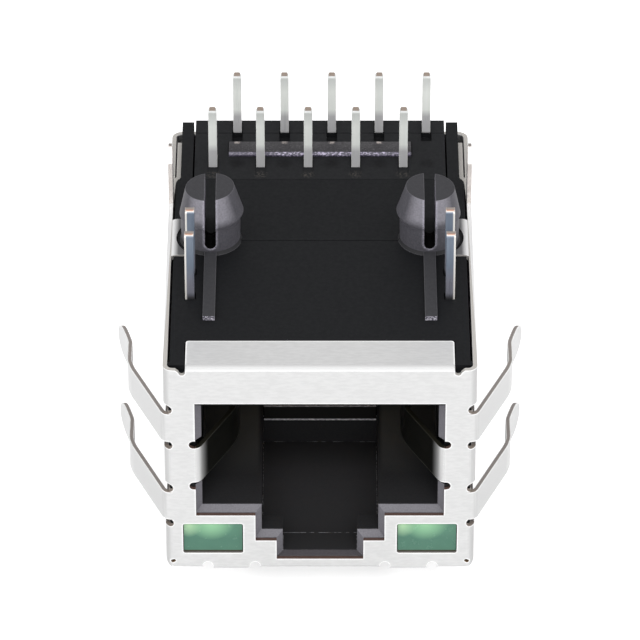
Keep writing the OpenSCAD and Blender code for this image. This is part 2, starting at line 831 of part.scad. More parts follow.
module left_front_lead() color(tin) placed() mirror([1, 0, 0]) lamp_lead(front_lead_y, 0);
module left_rear_lead() color(tin) placed() mirror([1, 0, 0])
    lamp_lead(front_lead_y + lead_pitch, rear_lead_drop);
module right_front_lead() color(tin) placed() lamp_lead(front_lead_y, 0);
module right_rear_lead() color(tin) placed() lamp_lead(front_lead_y + lead_pitch, rear_lead_drop);

// Board pin k counts across the jack: odd pins stand in the front row, even pins in the rear row
function pin_x(k) = (k - (pin_count + 1) / 2) * pin_step;
function pin_y(k) = k % 2 == 1 ? front_row_y : rear_row_y;

module board_pin(k) color(tin) placed() {
    top = body_h + pin_h;
    low = top - pin_tip;
    wide = [[pin_w / 2 - pin_cut, top], [pin_w / 2, low], [pin_w / 2, 0]];
    deep = [[pin_t / 2 - pin_cut, top], [pin_t / 2, low], [past, low - past], [past, 0]];
    x = pin_x(k);
    y = pin_y(k);
    intersection() {
        side([x - pin_w / 2, x + pin_w / 2]) pin_outline(k, 0);
        front([y - past, y + past]) translate([x, 0]) polygon(mirrored(wide));
        side([x - past, x + past]) translate([y, 0]) polygon(mirrored(deep));
    }
}

// Side outline of a pin, thicker by g all round: the board blade, its foot and the inner post
module pin_outline(k, g) {
    y = pin_y(k);
    t = pin_t / 2 + g;
    polygon([[y - t, body_h + pin_h + g], [y - t, pin_foot + pin_heel], [y - t + pin_heel, pin_foot - g],
             [y - t + pin_jog, pin_foot - g], [y - t + pin_jog, pin_in - g], [y + t + pin_jog, pin_in - g],
             [y + t + pin_jog, pin_foot + pin_t + g], [y + t, pin_foot + pin_t + g],
             [y + t, body_h + pin_h + g]]);
}

// Rear moulding: holds the pins and the wound cores
module magnetics_case() color(case_plastic) placed() {
    low = front_in + joggle;
    difference() {
        union() {
            block([-case_x, case_x], [case_front, case_end], [low, floor_z - play]);
            block([-case_x, case_x], [housing_end + 0.04, case_end], [floor_z - past, body_h]);
        }
        for (k = [1:pin_count]) {
            x = pin_x(k);
            y = pin_y(k) - pin_t / 2;
            w = pin_w / 2 + pin_groove_side;
            depth = k % 2 == 1 ? front_groove_depth : pin_groove_depth;
            side([x - pin_w / 2 - slot_play, x + pin_w / 2 + slot_play]) pin_outline(k, slot_play);
            block([x - w, x + w], [y - pin_groove, y + weld], [body_h - depth, body_h + past]);
        }
        // one pocket for each of the four pairs, open towards the top wall
        for (i = [0:3])
            block([(i - 1.5) * pocket_pitch - pocket_x / 2, (i - 1.5) * pocket_pitch + pocket_x / 2],
                  [pocket_front, case_end - pocket_wall], [0, pocket_floor]);
        // room for the capacitor and for the contacts' tails
        block([-capacitor_w / 2 - part_room, capacitor_w / 2 + part_room],
              [case_front - past, case_front + capacitor_t + part_room],
              [capacitor_low - part_room, capacitor_low + capacitor_h + part_room]);
        block([-insert_x, insert_x], [case_front - past, case_front + contact_tail_slot],
              [contact_z - part_room, contact_z + contact_t + part_room]);
        block([-bead_x, bead_x], [bead_front, bead_back], [bead_low, body_h + past]);
        // scribed line in front of the rear strip
        block([-case_x - past, case_x + past], [scribe_y, scribe_y + line_w],
              [body_h - line_depth, body_h + past]);
    }
}

// Bead of potting compound that stands a little proud of the case
module potting_bead() color(epoxy) placed() {
    x = bead_x - slot_play;
    low = bead_low + slot_play;
    start = bead_front + slot_play;
    stop = bead_back - slot_play;
    top = body_h + bead_rise;
    difference() {
        side([-x, x])
            polygon([[start, low], [start, body_h + bead_rise / 3], [start + bead_rise / 2, top],
                     [start + 2 * bead_rise, top + slot_play], [stop - bead_rise, body_h + bead_rise / 2],
                     [stop, body_h + slot_play], [stop, low]]);
        for (k = [1:2:pin_count])
            side([pin_x(k) - pin_w / 2 - slot_play, pin_x(k) + pin_w / 2 + slot_play])
                pin_outline(k, slot_play);
    }
}

function contact_x(k) = (k - 4.5) * contact_pitch;

// Spring contact: tail through the inner board, run along the insert, and the spring in the mouth
function contact_path() =
    bent([[board_y + board_t + contact_back, contact_z], [contact_front, contact_z],
          [contact_elbow_y, contact_low], [contact_end_y, contact_low - contact_end_drop]],
         [contact_nose_r, contact_elbow_r]);

module contact(k) color(gold) placed() {
    x = contact_x(k);
    side([x - contact_w / 2, x + contact_w / 2]) polygon(strip(contact_path(), -contact_t));
}

// Insert that carries the contacts, with the comb that parts their free ends
module contact_insert() color(black_plastic) placed() {
    difference() {
        union() {
            block([-insert_x, insert_x], [insert_y, cavity_y], [insert_low, floor_z - slot_play]);
            block([-insert_x, insert_x], [comb_y, cavity_y], [comb_bar_low, floor_z - slot_play]);
            block([-comb_bar_x, comb_bar_x], [comb_y - comb_bar_t, comb_y + weld],
                  [comb_bar_low, comb_bar_high]);
        }
        for (k = [1:8]) {
            x = contact_x(k);
            w = contact_w / 2 + slot_play;
            block([x - w, x + w], [insert_y - past, cavity_y + past],
                  [insert_low - past, contact_z + contact_t + slot_play]);
            block([x - w, x + w], [comb_y - past, comb_y + comb_slot], [comb_slot_low, insert_low + weld]);
        }
    }
}

// Small board that joins the contacts to the magnetics
module inner_board() color(laminate) placed() {
    difference() {
        block([-board_x, board_x], [board_y, board_y + board_t], [board_low, board_high]);
        for (k = [1:8])
            block([contact_x(k) - contact_w / 2 - slot_play, contact_x(k) + contact_w / 2 + slot_play],
                  [board_y - past, board_y + board_t + past],
                  [contact_z - slot_play, contact_z + contact_t + slot_play]);
    }
}

module isolation_capacitor() color(ceramic_tan) placed()
    block([-capacitor_w / 2, capacitor_w / 2], [case_front, case_front + capacitor_t],
          [capacitor_low, capacitor_low + capacitor_h]);

module resistor(k) color(black_plastic) placed()
    translate([(k - 2.5) * resistor_pitch, board_y - resistor_t, resistor_low])
        translate([-resistor_w / 2, 0, 0]) cube([resistor_w, resistor_t, resistor_h]);

// Cores 1 to 4 are the chokes in front, 5 to 8 the transformers behind them
function core_x(k) = ((k - 1) % 4 - 1.5) * pocket_pitch;
function core_y(k) = k <= 4 ? choke_y : transformer_y;

module at_core(k) translate([core_x(k), core_y(k), pocket_floor - wound_h - slot_play]) children();

module ring(outer, inner, h, z, sides) {
    translate([0, 0, z]) difference() {
        cylinder(d = outer, h = h, $fn = sides);
        translate([0, 0, -past]) cylinder(d = inner, h = h + 2 * past, $fn = sides);
    }
}

module ferrite_core(k) color(ferrite) placed()
    at_core(k) ring(core_d, core_hole_d, core_h, wire_t, large_round);

// Wire wound round the core, closed over its faces, with a gap between the first turn and the last
module winding(k) color(copper) placed() at_core(k) {
    flat = cos(180 / turns);
    difference() {
        ring(wound_d, core_hole_d - 2 * wire_t, wound_h, 0, turns);
        ring((core_d + 2 * wire_play) / flat, core_hole_d - 2 * wire_play, core_h + 2 * wire_play,
             wire_t - wire_play, turns);
        block([-winding_gap / 2, winding_gap / 2], [0, wound_d], [-past, wound_h + past]);
    }
}

shield_shell();
rear_cover();
front_housing();
magnetics_case();
potting_bead();
contact_insert();
inner_board();
isolation_capacitor();
left_lamp();
right_lamp();
left_front_lead();
left_rear_lead();
right_front_lead();
right_rear_lead();
for (k = [1:10]) board_pin(k);
for (k = [1:8]) contact(k);
for (k = [1:8]) ferrite_core(k);
for (k = [1:8]) winding(k);
for (k = [1:4]) resistor(k);
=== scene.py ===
import math

import bpy
from mathutils import Euler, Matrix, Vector


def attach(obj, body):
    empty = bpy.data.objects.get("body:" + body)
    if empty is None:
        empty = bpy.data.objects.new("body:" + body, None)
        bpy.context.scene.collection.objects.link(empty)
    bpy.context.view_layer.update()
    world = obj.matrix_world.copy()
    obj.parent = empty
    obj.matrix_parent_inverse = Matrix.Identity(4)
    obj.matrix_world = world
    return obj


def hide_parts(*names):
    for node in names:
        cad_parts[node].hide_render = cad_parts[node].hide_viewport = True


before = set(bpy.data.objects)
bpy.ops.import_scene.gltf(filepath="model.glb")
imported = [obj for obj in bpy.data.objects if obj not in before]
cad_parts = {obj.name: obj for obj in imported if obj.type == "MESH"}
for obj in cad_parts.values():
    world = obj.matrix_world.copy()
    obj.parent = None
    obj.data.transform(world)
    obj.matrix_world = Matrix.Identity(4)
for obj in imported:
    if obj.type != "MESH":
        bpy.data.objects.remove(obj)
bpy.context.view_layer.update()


# Ferrite cores
# Eight small sintered rings, four chokes in front and four transformers behind them. They lie in
# pockets of the rear case and are held there by their windings and the potting.
def shader(material):
    return material.node_tree.nodes["Principled BSDF"]


def new_material(name, colour, rough, metallic=0.0, specular=0.5):
    made = bpy.data.materials.new(name)
    made.use_nodes = True
    surface = shader(made)
    surface.inputs["Base Color"].default_value = (*colour, 1)
    surface.inputs["Roughness"].default_value = rough
    surface.inputs["Metallic"].default_value = metallic
    surface.inputs["Specular IOR Level"].default_value = specular
    return made


def node(material, kind, **settings):
    made = material.node_tree.nodes.new(kind)
    for key, value in settings.items():
        if key in made.inputs:
            made.inputs[key].default_value = value
        else:
            setattr(made, key, value)
    return made


def link(material, source, target):
    material.node_tree.links.new(source, target)


def own_place(material, stretch=(1, 1, 1)):
    place = node(material, "ShaderNodeTexCoord")
    mapped = node(material, "ShaderNodeMapping", Scale=stretch)
    link(material, place.outputs["Object"], mapped.inputs["Vector"])
    return mapped.outputs["Vector"]


def grain(material, scale, detail=4.0, stretch=(1, 1, 1)):
    made = node(material, "ShaderNodeTexNoise", Scale=scale, Detail=detail)
    link(material, own_place(material, stretch), made.inputs["Vector"])
    return made.outputs["Fac"]


def tint(material, amount, first, second):
    made = node(material, "ShaderNodeMix", data_type="RGBA")
    for socket, colour in (("A", first), ("B", second)):
        if hasattr(colour, "links"):
            link(material, colour, made.inputs[socket])
        else:
            made.inputs[socket].default_value = (*colour, 1)
    link(material, amount, made.inputs["Factor"])
    return made.outputs["Result"]


def painted(material, colour):
    link(material, colour, shader(material).inputs["Base Color"])


def bumped(material, height, depth, strength=1.0, edge=0.0):
    bump = node(material, "ShaderNodeBump", Strength=strength, Distance=depth)
    link(material, height, bump.inputs["Height"])
    if edge:
        soft = node(material, "ShaderNodeBevel", samples=6, Radius=edge)
        link(material, soft.outputs["Normal"], bump.inputs["Normal"])
    link(material, bump.outputs["Normal"], shader(material).inputs["Normal"])


def speckled(name, colour, rough, low, high, speck, pit, depth):
    made = new_material(name, colour, rough)
    painted(made, tint(made, grain(made, speck), low, high))
    bumped(made, grain(made, pit), depth)
    return made


def finish_nodes(names, material):
    for name in names:
        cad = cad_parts[name]
        cad.data.materials.clear()
        cad.data.materials.append(material)


ferrite = speckled("ferrite", (0.035, 0.035, 0.037), 0.7, (0.025, 0.025, 0.027), (0.06, 0.058, 0.055),
                   speck=9000, pit=14000, depth=0.00002)
finish_nodes([f"ferrite_core_{k}" for k in range(1, 9)], ferrite)


# Windings
# Enamelled copper wire wound tightly round each core, with a gap between the first and last turn.
# The turns show as fine ridges in the lacquer.
def enamelled_wire():
    made = new_material("enamelled_wire", (0.45, 0.13, 0.04), 0.3, metallic=0.6)
    wave = node(made, "ShaderNodeTexWave", Scale=1400.0, Distortion=1.5)
    link(made, own_place(made), wave.inputs["Vector"])
    turns = wave.outputs["Fac"]
    painted(made, tint(made, turns, (0.25, 0.06, 0.02), (0.62, 0.22, 0.08)))
    bumped(made, turns, 0.00003)
    return made


finish_nodes([f"winding_{k}" for k in range(1, 9)], enamelled_wire())


# Rear case
# Black glass-filled moulding that holds the pins and the cores. It is slid in between the two arms of the
# front housing. Its board face is finely spark-eroded, with a painted shadow in front of the bead in line
# with each rear pin and a painted glint in front of each front pin's foot.
def maths(material, operation, first, second=None):
    made = node(material, "ShaderNodeMath", operation=operation)
    for k, value in enumerate((first, second)):
        if hasattr(value, "links"):
            link(material, value, made.inputs[k])
        elif value is not None:
            made.inputs[k].default_value = value
    return made.outputs["Value"]


def times(material, first, second):
    return maths(material, "MULTIPLY", first, second)


def length_of(material, first, second):
    squares = maths(material, "ADD", times(material, first, first), times(material, second, second))
    return maths(material, "SQRT", squares)


def spread(material, source, low, high, between=(0.3, 0.7)):
    made = node(material, "ShaderNodeMapRange")
    start, end = between
    for socket, value in (("From Min", start), ("From Max", end), ("To Min", low), ("To Max", high)):
        made.inputs[socket].default_value = value
    link(material, source, made.inputs["Value"])
    return made.outputs["Result"]


def rise(material, source, between):
    return spread(material, source, 0, 1, between)


def fall(material, source, between):
    return spread(material, source, 1, 0, between)


def at_most(material, source, share):
    return spread(material, source, 0, share, (0, 1))


def axis(material, letter):
    made = node(material, "ShaderNodeSeparateXYZ")
    link(material, own_place(material), made.inputs["Vector"])
    return made.outputs[letter]


def edge_of(material, radius, between=(0.02, 0.25)):
    soft = node(material, "ShaderNodeBevel", samples=8, Radius=radius)
    flat = node(material, "ShaderNodeNewGeometry")
    match = node(material, "ShaderNodeVectorMath", operation="DOT_PRODUCT")
    link(material, soft.outputs["Normal"], match.inputs[0])
    link(material, flat.outputs["Normal"], match.inputs[1])
    return rise(material, maths(material, "SUBTRACT", 1.0, match.outputs["Value"]), between)


def roughened(material, rough):
    link(material, rough, shader(material).inputs["Roughness"])


def paint_of(material):
    return shader(material).inputs["Base Color"].links[0].from_socket


def moulded_black(name, colour, rough=0.6, specular=0.1, edge=0.00003, edge_colour=None, edge_share=0.5):
    made = new_material(name, colour, rough, specular=specular)
    low = tuple(0.88 * c for c in colour)
    high = tuple(1.14 * c for c in colour)
    mottled = tint(made, spread(made, grain(made, 14000, 2), 0, 1), low, high)
    # Edges are painted in a lighter colour as a highlight over the mottled black
    edge_highlight_colour = edge_colour or tuple(1.8 * c + 0.004 for c in colour)
    painted(made, tint(made, at_most(made, edge_of(made, edge), edge_share), mottled, edge_highlight_colour))
    roughened(made, spread(made, grain(made, 5000, 3), rough - 0.06, rough + 0.08))
    bumped(made, grain(made, 12000, 4), 0.000004, 0.4, edge)
    return made


# The pins of a row stand one pitch apart, and the two rows are staggered by half a pitch. Pitches are
# counted from well aside of the first pin.
pin_pitch = 0.00254
front_row = 0.75 * pin_pitch
rear_row = 0.25 * pin_pitch
pitches_aside = 8


def from_pin(material, row):
    start = pitches_aside * pin_pitch + row
    pitches = maths(material, "DIVIDE", maths(material, "ADD", axis(material, "X"), start), pin_pitch)
    return maths(material, "SUBTRACT", maths(material, "FRACT", pitches), 0.5)


def pin_spots(material, row, depth, wide):
    beside = times(material, from_pin(material, row), pin_pitch / wide)
    behind = maths(material, "DIVIDE", maths(material, "SUBTRACT", axis(material, "Y"), depth), wide)
    return fall(material, length_of(material, beside, behind), (0.4, 1.0))


def case_black():
    made = moulded_black("case_black", (0.0135, 0.014, 0.0155))
    moulded = paint_of(made)
    # Painted shadows in line with the rear pins and painted glints in front of the front pins
    pin_shadow = times(made, pin_spots(made, rear_row, depth=0.00706, wide=0.00055),
                  spread(made, grain(made, 4000, 3), 0.4, 1))
    pin_glint = times(made, pin_spots(made, front_row, depth=0.00606, wide=0.00045),
                 rise(made, grain(made, 9000, 2), (0.48, 0.62)))
    pin_shadowed = tint(made, pin_shadow, moulded, (0.006, 0.006, 0.007))
    painted(made, tint(made, pin_glint, pin_shadowed, (0.06, 0.055, 0.05)))
    return made


finish_nodes(["magnetics_case"], case_black())


# Board pins
# Flat pins stamped from tinned bronze strip, five in each of two staggered rows. The tin's edges are
# painted white as a highlight, it is painted darker near the case as shade and darker in a band below the
# tip, a painted glint line runs just under the tip, and the cut tips are bare metal that has browned.
def tinned_pin():
    made = new_material("tinned_pin", (0.9, 0.92, 0.88), 0.3)
    foot_end = (0.01565, 0.0161)
    tip_start = (0.0172, 0.0180)
    glint_start = (0.01812, 0.01815)
    cut_start = (0.01819, 0.01824)
    up = axis(made, "Z")
    streaks = grain(made, 5000, 3, (1, 1, 0.08))
    # Painted shade at the foot, painted white highlights along the edges and a painted glint line under the
    # tip
    shaded_foot = tint(made, streaks, (0.46, 0.46, 0.47), (0.58, 0.58, 0.585))
    blade = tint(made, streaks, (0.79, 0.82, 0.78), (0.9, 0.92, 0.89))
    near_tip = tint(made, rise(made, up, tip_start), blade, (0.66, 0.68, 0.66))
    tinned = tint(made, rise(made, up, foot_end), shaded_foot, near_tip)
    highlit_edges = tint(made, at_most(made, edge_of(made, 0.00007), 0.8), tinned, (1.0, 1.0, 0.99))
    shine = tint(made, grain(made, 3500, 2), (0.6, 0.62, 0.62), (0.95, 0.96, 0.96))
    glint = tint(made, rise(made, up, glint_start), highlit_edges, shine)
    painted(made, tint(made, rise(made, up, cut_start), glint, (0.27, 0.21, 0.17)))
    roughened(made, spread(made, streaks, 0.25, 0.42))
    bumped(made, streaks, 0.000004, 0.5, 0.00005)
    return made


finish_nodes([f"board_pin_{k}" for k in range(1, 11)], tinned_pin())


# Potting bead
# Epoxy poured round the inner ends of the pins. It has set a little proud of the case. Its front face
# carries a painted sparkling highlight, brightest near the middle, and its rear edge a painted glint in
# line with each rear pin.
def apart(material, source, middle):
    return maths(material, "ABSOLUTE", maths(material, "SUBTRACT", source, middle))


def dressed(name, materials, choose=None):
    crease = 22
    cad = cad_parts[name]
    bpy.ops.object.select_all(action="DESELECT")
    piece = cad.copy()
    piece.data = cad.data.copy()
    piece.name = f"{name}.finished"
    bpy.context.scene.collection.objects.link(piece)
    piece.select_set(True)
    bpy.context.view_layer.objects.active = piece
    if piece.data.has_custom_normals:
        bpy.ops.mesh.customdata_custom_splitnormals_clear()
    bpy.ops.object.mode_set(mode="EDIT")
    bpy.ops.mesh.select_all(action="SELECT")
    bpy.ops.mesh.remove_doubles(threshold=1e-7)
    bpy.ops.object.mode_set(mode="OBJECT")
    bpy.ops.object.shade_smooth_by_angle(angle=math.radians(crease))
    piece.data.materials.clear()
    for material in materials:
        piece.data.materials.append(material)
    if choose:
        for face in piece.data.polygons:
            face.material_index = materials.index(choose(face.center * 1000, face.normal))
    piece.modifiers.new("flat faces stay flat", "WEIGHTED_NORMAL").keep_sharp = True
    bpy.ops.object.modifier_apply(modifier="flat faces stay flat")
    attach(piece, "root")
    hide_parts(name)
    return piece


def potting_epoxy():
    made = new_material("potting_epoxy", (0.04, 0.035, 0.045), 0.4, specular=0.25)
    rear_edge = (0.0087, 0.00895)
    beside_pin = (0.03, 0.075)
    fleck = rise(made, grain(made, 15000, 2), (0.58, 0.72))
    poured = tint(made, fleck, (0.03, 0.028, 0.032), (0.12, 0.11, 0.125))
    # A painted glint on the rear edge in line with each rear pin
    aside = maths(made, "ABSOLUTE", from_pin(made, rear_row))
    glint_place = times(made, fall(made, aside, beside_pin), rise(made, axis(made, "Y"), rear_edge))
    glints = times(made, glint_place, rise(made, grain(made, 12000, 2), (0.4, 0.6)))
    painted(made, tint(made, glints, poured, (0.7, 0.62, 0.58)))
    roughened(made, spread(made, grain(made, 7000), 0.3, 0.55))
    bumped(made, grain(made, 9000, 6), 0.00002, 0.6, 0.00004)
    return made


def potting_rim():
    made = new_material("potting_rim", (0.3, 0.27, 0.36), 0.25)
    brightest_x = 0.0006
    fading = (0.0024, 0.0046)
    # A painted sparkling highlight on the front face, brightest near the middle
    fleck = rise(made, grain(made, 13000, 3, (0.6, 1, 1)), (0.47, 0.68))
    middle = spread(made, apart(made, axis(made, "X"), brightest_x), 0.85, 0.22, fading)
    painted(made, tint(made, times(made, fleck, middle), (0.07, 0.062, 0.095), (0.7, 0.63, 0.85)))
    bumped(made, grain(made, 9000, 6), 0.00003, 0.8)
    return made


bead_top = potting_epoxy()
bead_rim = potting_rim()


def bead_face(at, normal):
    return bead_rim if normal.y < -0.3 else bead_top


dressed("potting_bead", [bead_top, bead_rim], bead_face)


# Inner board with its resistors and capacitor
# Green glass-fibre laminate that joins the contacts to the magnetics. Four chip resistors stand on
# its front and the high-voltage capacitor is soldered to its back.
def laminate():
    made = new_material("laminate", (0.01, 0.09, 0.03), 0.35)
    weave = node(made, "ShaderNodeTexChecker", Scale=2500.0)
    link(made, own_place(made), weave.inputs["Vector"])
    painted(made, tint(made, weave.outputs["Fac"], (0.008, 0.08, 0.025), (0.014, 0.11, 0.04)))
    bumped(made, grain(made, 3000), 0.00001)
    return made


chip = speckled("chip_body", (0.02, 0.02, 0.022), 0.4, (0.015, 0.015, 0.017), (0.05, 0.05, 0.052),
                speck=6000, pit=9000, depth=0.00001)
fired = speckled("fired_ceramic", (0.48, 0.32, 0.15), 0.5, (0.4, 0.26, 0.12), (0.55, 0.38, 0.2),
                 speck=4000, pit=8000, depth=0.00001)
finish_nodes(["inner_board"], laminate())
finish_nodes([f"resistor_{k}" for k in range(1, 5)], chip)
finish_nodes(["isolation_capacitor"], fired)


# Contacts
# Eight strips of spring bronze, gold-plated where the plug's blades touch them. They run along the
# insert, bend round its nose and slant back into the mouth.
def gold_plate():
    made = new_material("gold_plate", (0.62, 0.38, 0.1), 0.22, metallic=1.0)
    drawn = grain(made, 6000, 3, (1, 0.1, 0.1))
    painted(made, tint(made, drawn, (0.5, 0.29, 0.07), (0.75, 0.5, 0.17)))
    roughened(made, spread(made, drawn, 0.15, 0.35))
    bumped(made, drawn, 0.000005, 0.6)
    return made


gold = gold_plate()
for k in range(1, 9):
    dressed(f"contact_{k}", [gold])


# Contact insert
# Black moulding that slides in from behind. It carries the contacts and parts their free ends with a comb.
# The two front edges of the comb's bar carry painted sparkling highlight lines.
def comb_bar():
    made = new_material("comb_bar", (0.003, 0.003, 0.003), 0.5, specular=0.1)
    top_edge = 0.00524
    low_edge = 0.00428
    line_width = (0.00005, 0.0001)
    fleck = rise(made, grain(made, 16000, 3, (0.4, 1, 1)), (0.4, 0.7))
    bright = tint(made, fleck, (0.4, 0.38, 0.42), (1.0, 0.98, 1.0))
    up = axis(made, "Z")
    # Painted sparkling highlight lines along the bar's two front edges
    upper = fall(made, apart(made, up, top_edge), line_width)
    lower = fall(made, apart(made, up, low_edge), line_width)
    painted(made, tint(made, maths(made, "MAXIMUM", upper, lower), (0.013, 0.0125, 0.012), bright))
    bumped(made, grain(made, 14000, 4), 0.00001, 0.6, 0.00004)
    return made


insert_black = moulded_black("insert_black", (0.016, 0.0155, 0.016), rough=0.5, specular=0.08, edge=0.00005)
bar_black = comb_bar()

# Faces are chosen by their place in millimetres: aside from the middle, behind the front plate and
# above the top wall, on which the jack lies a little off the ground
half_length = 11.6
stand = 1.9


def place_of(at):
    return abs(at.x), at.y + half_length, at.z - stand


def insert_face(at, normal):
    y, z = place_of(at)[1:]
    bar_back = 10.1
    bar_top = 3.4
    return bar_black if y < bar_back and z < bar_top else insert_black


dressed("contact_insert", [insert_black, bar_black], insert_face)


# Front housing
# Black moulding with the mouth, the split posts and the ribs that hold the board off. Its flat faces are
# finely matt. The posts, the ribs, the mouth and its chamfers get lighter copies of the same black, as
# painted light.
def facing(material, letter):
    geometry = node(material, "ShaderNodeNewGeometry")
    made = node(material, "ShaderNodeSeparateXYZ")
    link(material, geometry.outputs["Normal"], made.inputs["Vector"])
    return made.outputs[letter]


def mouth_moulding():
    made = moulded_black("mouth_black", (0.026, 0.026, 0.028), rough=0.5, edge=0.00004,
                         edge_colour=(0.05, 0.05, 0.055))
    going_in = (-0.0085, -0.0036)
    beside_channel = (0.0031, 0.0033)
    moulded = paint_of(made)
    # Painted light on the mouth's walls further in, beside the channel
    lit_inside = times(made, rise(made, axis(made, "Y"), going_in),
                 rise(made, maths(made, "ABSOLUTE", axis(made, "X")), beside_channel))
    painted(made, tint(made, lit_inside, moulded, (0.088, 0.088, 0.086)))
    return made


def mouth_floor():
    made = new_material("floor_black", (0.05, 0.05, 0.055), 0.5, specular=0.2)
    front_shade = (-0.0098, -0.0052)
    back_shade = (-0.004, 0.0)
    along = axis(made, "Y")
    # A painted pool of light in the middle of the floor, painted shade at its front and back, and a painted
    # dashed highlight along its edges
    painted_glow = tint(made, grain(made, 6000, 3), (0.05, 0.05, 0.055), (0.062, 0.062, 0.067))
    front = tint(made, rise(made, along, front_shade), (0.028, 0.028, 0.03), painted_glow)
    shaded = tint(made, fall(made, along, back_shade), (0.01, 0.01, 0.01), front)
    dashed_edge_highlight = times(made, edge_of(made, 0.00006, (0.01, 0.05)),
                    rise(made, grain(made, 9000, 2, (0.4, 1, 1)), (0.45, 0.6)))
    painted(made, tint(made, dashed_edge_highlight, shaded, (0.42, 0.42, 0.45)))
    bumped(made, grain(made, 12000, 4), 0.000004, 0.4)
    return made


# A post's cone, painted lit where it faces the front, its duller shank and painted edge highlights
def post_moulding():
    made = new_material("post_black", (0.07, 0.07, 0.08), 0.5, specular=0.25)
    post_x = 0.005715
    foot_top = (0.0149, 0.01492)
    slit_round_z = 0.01539
    slit_edge_width = (0.0003, 0.00044)
    cone_start = (0.0165, 0.01682)
    barb_z = 0.01642
    barb_width = (0.00012, 0.00025)

    across = axis(made, "X")
    up = axis(made, "Z")
    frontward = facing(made, "Y")
    upward = facing(made, "Z")
    mottle = grain(made, 9000, 3)
    mottle_share = spread(made, mottle, 0, 1)
    shank = tint(made, mottle_share, (0.08, 0.078, 0.09), (0.112, 0.109, 0.126))
    side = tint(made, mottle_share, (0.075, 0.073, 0.085), (0.1, 0.097, 0.112))
    lit = tint(made, mottle_share, (0.215, 0.207, 0.237), (0.285, 0.275, 0.31))
    cone = tint(made, fall(made, frontward, (-0.85, -0.55)), side, lit)
    moulded = tint(made, rise(made, up, cone_start), shank, cone)
    # Painted light on the barb's underside, and painted shade at the post's foot
    lit_underside = tint(made, fall(made, upward, (-0.25, -0.1)), moulded, (0.16, 0.155, 0.178))
    body = tint(made, fall(made, up, foot_top), lit_underside, (0.035, 0.035, 0.038))

    aside = apart(made, maths(made, "ABSOLUTE", across), post_x)
    below = maths(made, "MINIMUM", maths(made, "SUBTRACT", up, slit_round_z), 0.0)
    slit_highlight = times(made, fall(made, length_of(made, aside, below), slit_edge_width),
                 spread(made, grain(made, 15000, 2), 0.2, 1, (0.4, 0.65)))
    slit_edge = tint(made, slit_highlight, body, (0.5, 0.48, 0.56))
    # A painted highlight round the bottom of the slit and along the top edges
    off_barb = spread(made, apart(made, up, barb_z), 0, 0.6, barb_width)
    edge_highlight = times(made, edge_of(made, 0.00006), off_barb)
    painted(made, tint(made, edge_highlight, slit_edge, (0.26, 0.25, 0.28)))
    bumped(made, mottle, 0.00001, 0.5, 0.00006)
    return made


def sparkling_tip():
    # A painted sparkling highlight on the front face of each rib
    made = new_material("rib_tip", (0.3, 0.29, 0.33), 0.35)
    fleck = rise(made, grain(made, 12000, 3), (0.45, 0.68))
    painted(made, tint(made, fleck, (0.1, 0.095, 0.12), (0.85, 0.82, 0.92)))
    bumped(made, grain(made, 12000, 4), 0.00002, 0.7)
    return made


# Lighter copies of the one black moulding for mouth, chamfers, posts and ribs are painted light
housing_black = moulded_black("housing_black", (0.0092, 0.0097, 0.011))
low_chamfer = moulded_black("low_chamfer", (0.062, 0.057, 0.064), rough=0.45, specular=0.3, edge=0.00008,
                            edge_colour=(0.17, 0.165, 0.18), edge_share=1.0)
mouth_black = mouth_moulding()
chamfer_black = moulded_black("chamfer_black", (0.17, 0.165, 0.185), rough=0.45, specular=0.3, edge=0.00007,
                              edge_colour=(0.34, 0.33, 0.37), edge_share=1.0)
post_black = post_moulding()
end_black = moulded_black("post_end", (0.031, 0.0305, 0.0355), rough=0.5, specular=0.3, edge=0.00007,
                          edge_colour=(0.2, 0.195, 0.215), edge_share=0.8)
rib_black = moulded_black("rib_top", (0.032, 0.032, 0.036), rough=0.5, specular=0.3, edge=0.00006,
                          edge_colour=(0.16, 0.158, 0.17), edge_share=0.8)
rib_tip = sparkling_tip()
# Painted shadow: a near-black copy for the front of each slit
slit_shade_black = moulded_black("slit_shade_black", (0.002, 0.002, 0.002), rough=0.7, specular=0.05,
                          edge_colour=(0.002, 0.002, 0.002))
floor_black = mouth_floor()
slit_black = moulded_black("slit_black", (0.009, 0.0095, 0.011), edge_colour=(0.009, 0.0095, 0.011))

# What stands on the board face: the ribs, and the posts with their slits, which have a pit in front,
# painted black as shadow, and a lower bridge behind
board_face = 12.82
rib_top = 13.1
rib_end = 10.1
slit_bridge_top = 13.2
slit_top = 13.7
slit_front = 10.4
slit_step = 11.5
slit_middle = 11.6
slit_back = 13.3
slit_half = 0.32
slit_floor_half = 0.3
post_aside = 5.715
post_end = 15.6


def post_or_rib_face(x, y, z, normal):
    beside = abs(x - post_aside)
    looks_up = normal.z > 0.9
    if y > slit_middle and beside < slit_floor_half and looks_up and z < slit_bridge_top:
        return slit_black
    if z < rib_top and y < rib_end:
        return rib_tip if normal.y < -0.9 else rib_black
    if looks_up:
        return end_black if z > post_end else slit_shade_black
    if abs(y - slit_step) < 0.02 and abs(normal.y) > 0.9:
        return slit_shade_black
    if beside < slit_half and z < slit_top and slit_front < y < slit_back:
        return slit_shade_black if y < slit_middle + 0.01 else slit_black
    return post_black


# The mouth: its rim right behind the plate, and the walls and the floor further in
rim_back = 0.7
rim_aside = 6.5
mouth_aside = 7.1
mouth_top = 10.7
low_step_top = 1.1
low_step_aside = 3.4
floor_top = 1.3
floor_aside = 3.1


